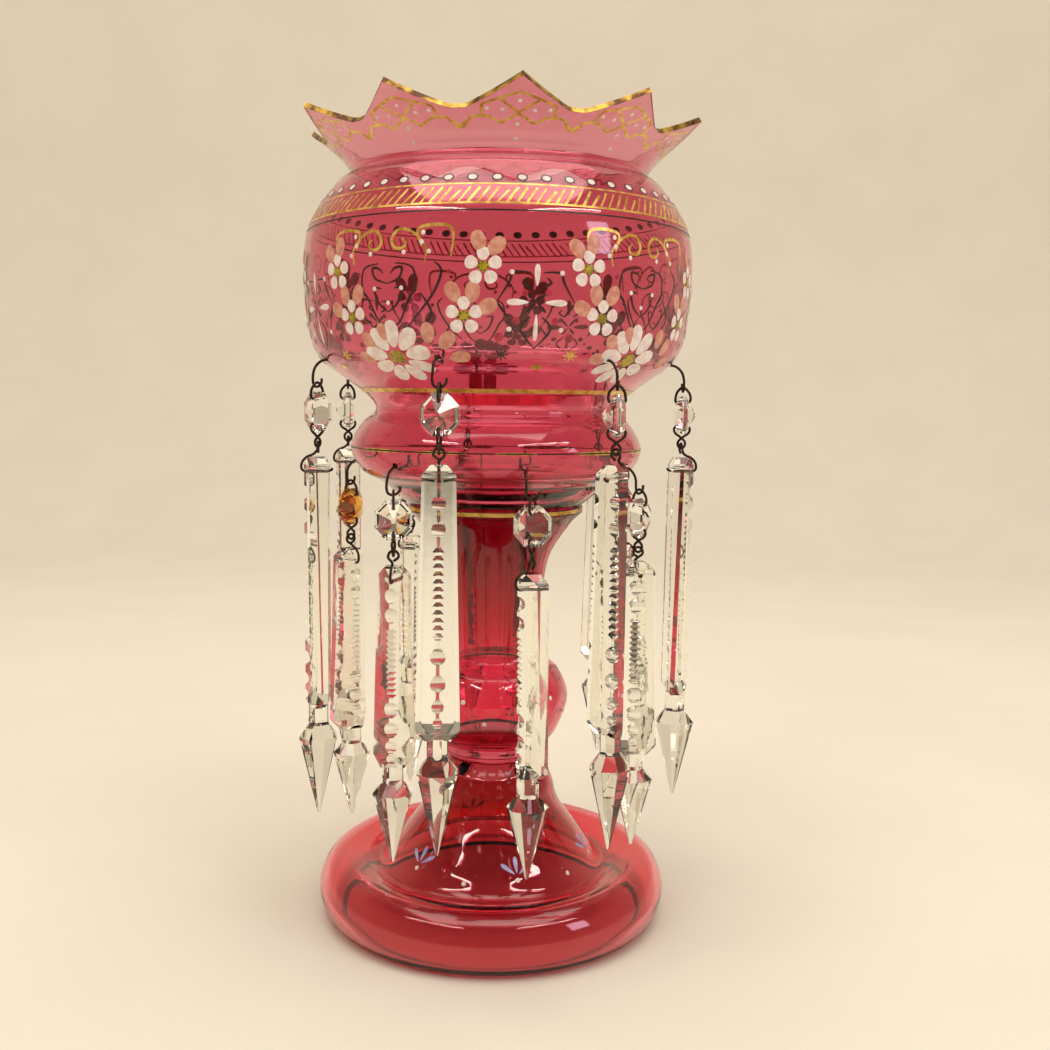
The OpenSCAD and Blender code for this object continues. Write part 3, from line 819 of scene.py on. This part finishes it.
for k in range(crown_points):
    mid = crown_turn + k * 360 / crown_points
    for line in cells:
        for a, b in zip(line, line[1:]):
            stroke("gold", vase_ground, [under_tip(mid, *a), under_tip(mid, *b)], 1.0, steps=3)
    for across, down in pearls:
        pearl(vase_ground, *under_tip(mid, across, down), 1.5)
print("crown pearls:", len(pearls) * crown_points)

# %% [markdown]
# The cut edge of the star is gilded. A strip that lies a hair over the edge and laps onto both sides
# of the wall is spun like the bowl and drawn down to the star by the same helper, so the two agree.

# %% Gild the crown's edge
# Outline points that stand a few hundredths of a millimetre off the glass.
rim = [0.7 * bowl_curve[-1] + 0.3 * bowl_curve[-2] + (0.03, -0.04), bowl_curve[-1] + (0.05, -0.05),
       bowl_inside[-1] + (0.03, 0.06), 0.8 * bowl_inside[-1] + 0.2 * bowl_inside[-2] + (-0.03, 0.05)]
bm = bmesh.new()
spun(bm, [around(r, z, crown_turn) for r, z in rim], bowl_steps)
for v in bm.verts:
    cut_crown(v)
bmesh.ops.recalc_face_normals(bm, faces=bm.faces)
print("rim faces:", len(bm.faces))
new_piece("gilded_rim", bm, rim_gilding)

# %% [markdown]
# The knop has a few white dots, and the foot a ring of pale blue sprigs, each with a white dot. They are
# single dabs on other outlines, so the helpers of the bowl serve again.

# %% Paint knop and foot
for count, start, z, size in ((5, -22.5, 90, 2.0), (9, -6, 82, 1.8)):
    for k in range(count):
        pearl(knop_ground, start + k * 360 / count, knop_ground.at_height(z), size)
sprigs, groove_r = 6, 40
low_on_foot = 100 * (foot_curve[:, 1] < foot_h - 5)
groove = float(foot_ground.s[np.argmin(np.abs(foot_curve[:, 0] - groove_r) + low_on_foot)])
for k in range(sprigs):
    a = 15 + k * 360 / sprigs
    pearl(foot_ground, a, groove, 1.9)
    pearl(foot_ground, a + 31, groove - 1.5, 1.9)
    for turn in (-50, 0, 50):
        dab("blue", foot_ground, a, groove + 1.6, 6.4, 2.4, turn=turn, push=4.2, taper=0.75)
print("sprigs on the foot:", sprigs)

# %% [markdown]
# The kiln fires the paint on. Every paint becomes one piece. A dab is open below, with no inside to
# tell which way is out, so each upright face that points to the axis is flipped.

# %% Fire the paint
lying_flat = 0.95
for paint, bm in wet.items():
    bmesh.ops.recalc_face_normals(bm, faces=bm.faces)
    for face in bm.faces:
        centre = face.calc_center_median()
        if face.normal.dot(Vector((centre.x, centre.y, 0))) < 0 and abs(face.normal.z) < lying_flat:
            face.normal_flip()
    made = new_piece("painted_" + paint, bm, paints[paint])
    print(made.name, len(made.data.polygons))

# %% [markdown]
# ## Studio
# The photograph was taken on a pale cloth with soft light from above. Two long lamps, high on the left
# and the right, leave thin bright strips on the bowl, the bulb and the foot, and a small cool one stands
# for a window. A flat floor would show its end through the glass, so the cloth sweeps up into a round
# wall: every view has a plain pale ground behind it. From here on sizes are in metres, as in a room.

# %% Floor and backdrop
# Ivory cloth: matt, with wide soft folds that hardly show. Its second colour makes the hollows of the folds
# a little darker: a faint painted shade.
cloth = finish("ivory_cloth", "#e6dfd0", Roughness=0.9)
grain(cloth, 110, relief=0.06, depth_mm=20, second="#e4dcce")
studio_y, floor_r, sweep_r, wall_h = -1.4, 2.4, 0.6, 2.6
bend = [(floor_r + sweep_r * math.sin(t), sweep_r - sweep_r * math.cos(t))
        for t in np.linspace(0, math.pi / 2, 13)]
bm = bmesh.new()
outline = [(0, 0), *bend, (floor_r + sweep_r, wall_h)]
spun(bm, [(r, studio_y, z) for r, z in outline], 96, centre=(0, studio_y, 0))
closed_up(bm)
bmesh.ops.reverse_faces(bm, faces=bm.faces)
backdrop = new_object("backdrop", bm, cloth)
print("backdrop faces:", len(backdrop.data.polygons))


# %% Lamps
def lamp(name, place, aim, size, power, colour="#fff6ea"):
    """A soft rectangular lamp aimed at a point."""
    data = bpy.data.lights.new(name, "AREA")
    data.shape, data.size, data.size_y = "RECTANGLE", size[0], size[1]
    data.energy, data.color = power, linear(colour)[:3]
    made = bpy.data.objects.new(name, data)
    made.location = place
    made.rotation_euler = (Vector(aim) - Vector(place)).to_track_quat("-Z", "Y").to_euler()
    bpy.context.collection.objects.link(made)


waist = (0, 0, 0.18)
lamp("strip_left", (-0.76, -0.79, 1.17), waist, (1.0, 0.05), 3.2)
lamp("strip_right", (0.76, -0.79, 1.17), waist, (1.0, 0.05), 3.2)
lamp("window", (1.5, -0.9, 0.75), waist, (0.4, 0.55), 4, "#e4e8ff")
lamp("overhead", (0, -0.2, 2.0), (0, -0.1, 0), (2.2, 1.8), 43)
print("lamps:", [(light.name, light.energy) for light in bpy.data.lights])

# %% [markdown]
# A little light comes from everywhere in a room, so that no shadow is black. The world gives it.

# %% Light of the room
world = bpy.data.worlds.new("room")
world.use_nodes = True
room = world.node_tree.nodes["Background"]
room.inputs["Color"].default_value = linear("#fbf6ec")
room.inputs["Strength"].default_value = 0.14
bpy.context.scene.world = world
bpy.context.scene.view_settings.view_transform = "Standard"
print("room light:", round(room.inputs["Strength"].default_value, 2))

# %% [markdown]
# ## Camera
# The camera stands at the height of the waist, less than half a metre away, and looks slightly down, so
# the crown is seen from below and the foot from above. The picture is a square of 1050 pixels, and the
# lens is given in those pixels, as it was fitted to the rings of the glass.

# %% Place the camera
image_px, focal_px, centre_px, drop_px = 1050, 1157.0, 504.5, 2.0
eye, tilt_deg, roll_deg = Vector((0.0037, -0.455, 0.2055)), 6.4, 0.7
camera = bpy.data.cameras.new("camera")
camera.sensor_width = 36.0
camera.lens = camera.sensor_width * focal_px / image_px
camera.shift_x = (image_px / 2 - centre_px) / image_px
camera.shift_y = drop_px / image_px
shot = bpy.data.objects.new("camera", camera)
shot.matrix_world = (Matrix.Translation(eye) @ Matrix.Rotation(math.radians(90 - tilt_deg), 4, "X")
                     @ Matrix.Rotation(math.radians(roll_deg), 4, "Z"))
bpy.context.collection.objects.link(shot)
bpy.context.scene.camera = shot
print("lens in mm:", round(camera.lens, 1))
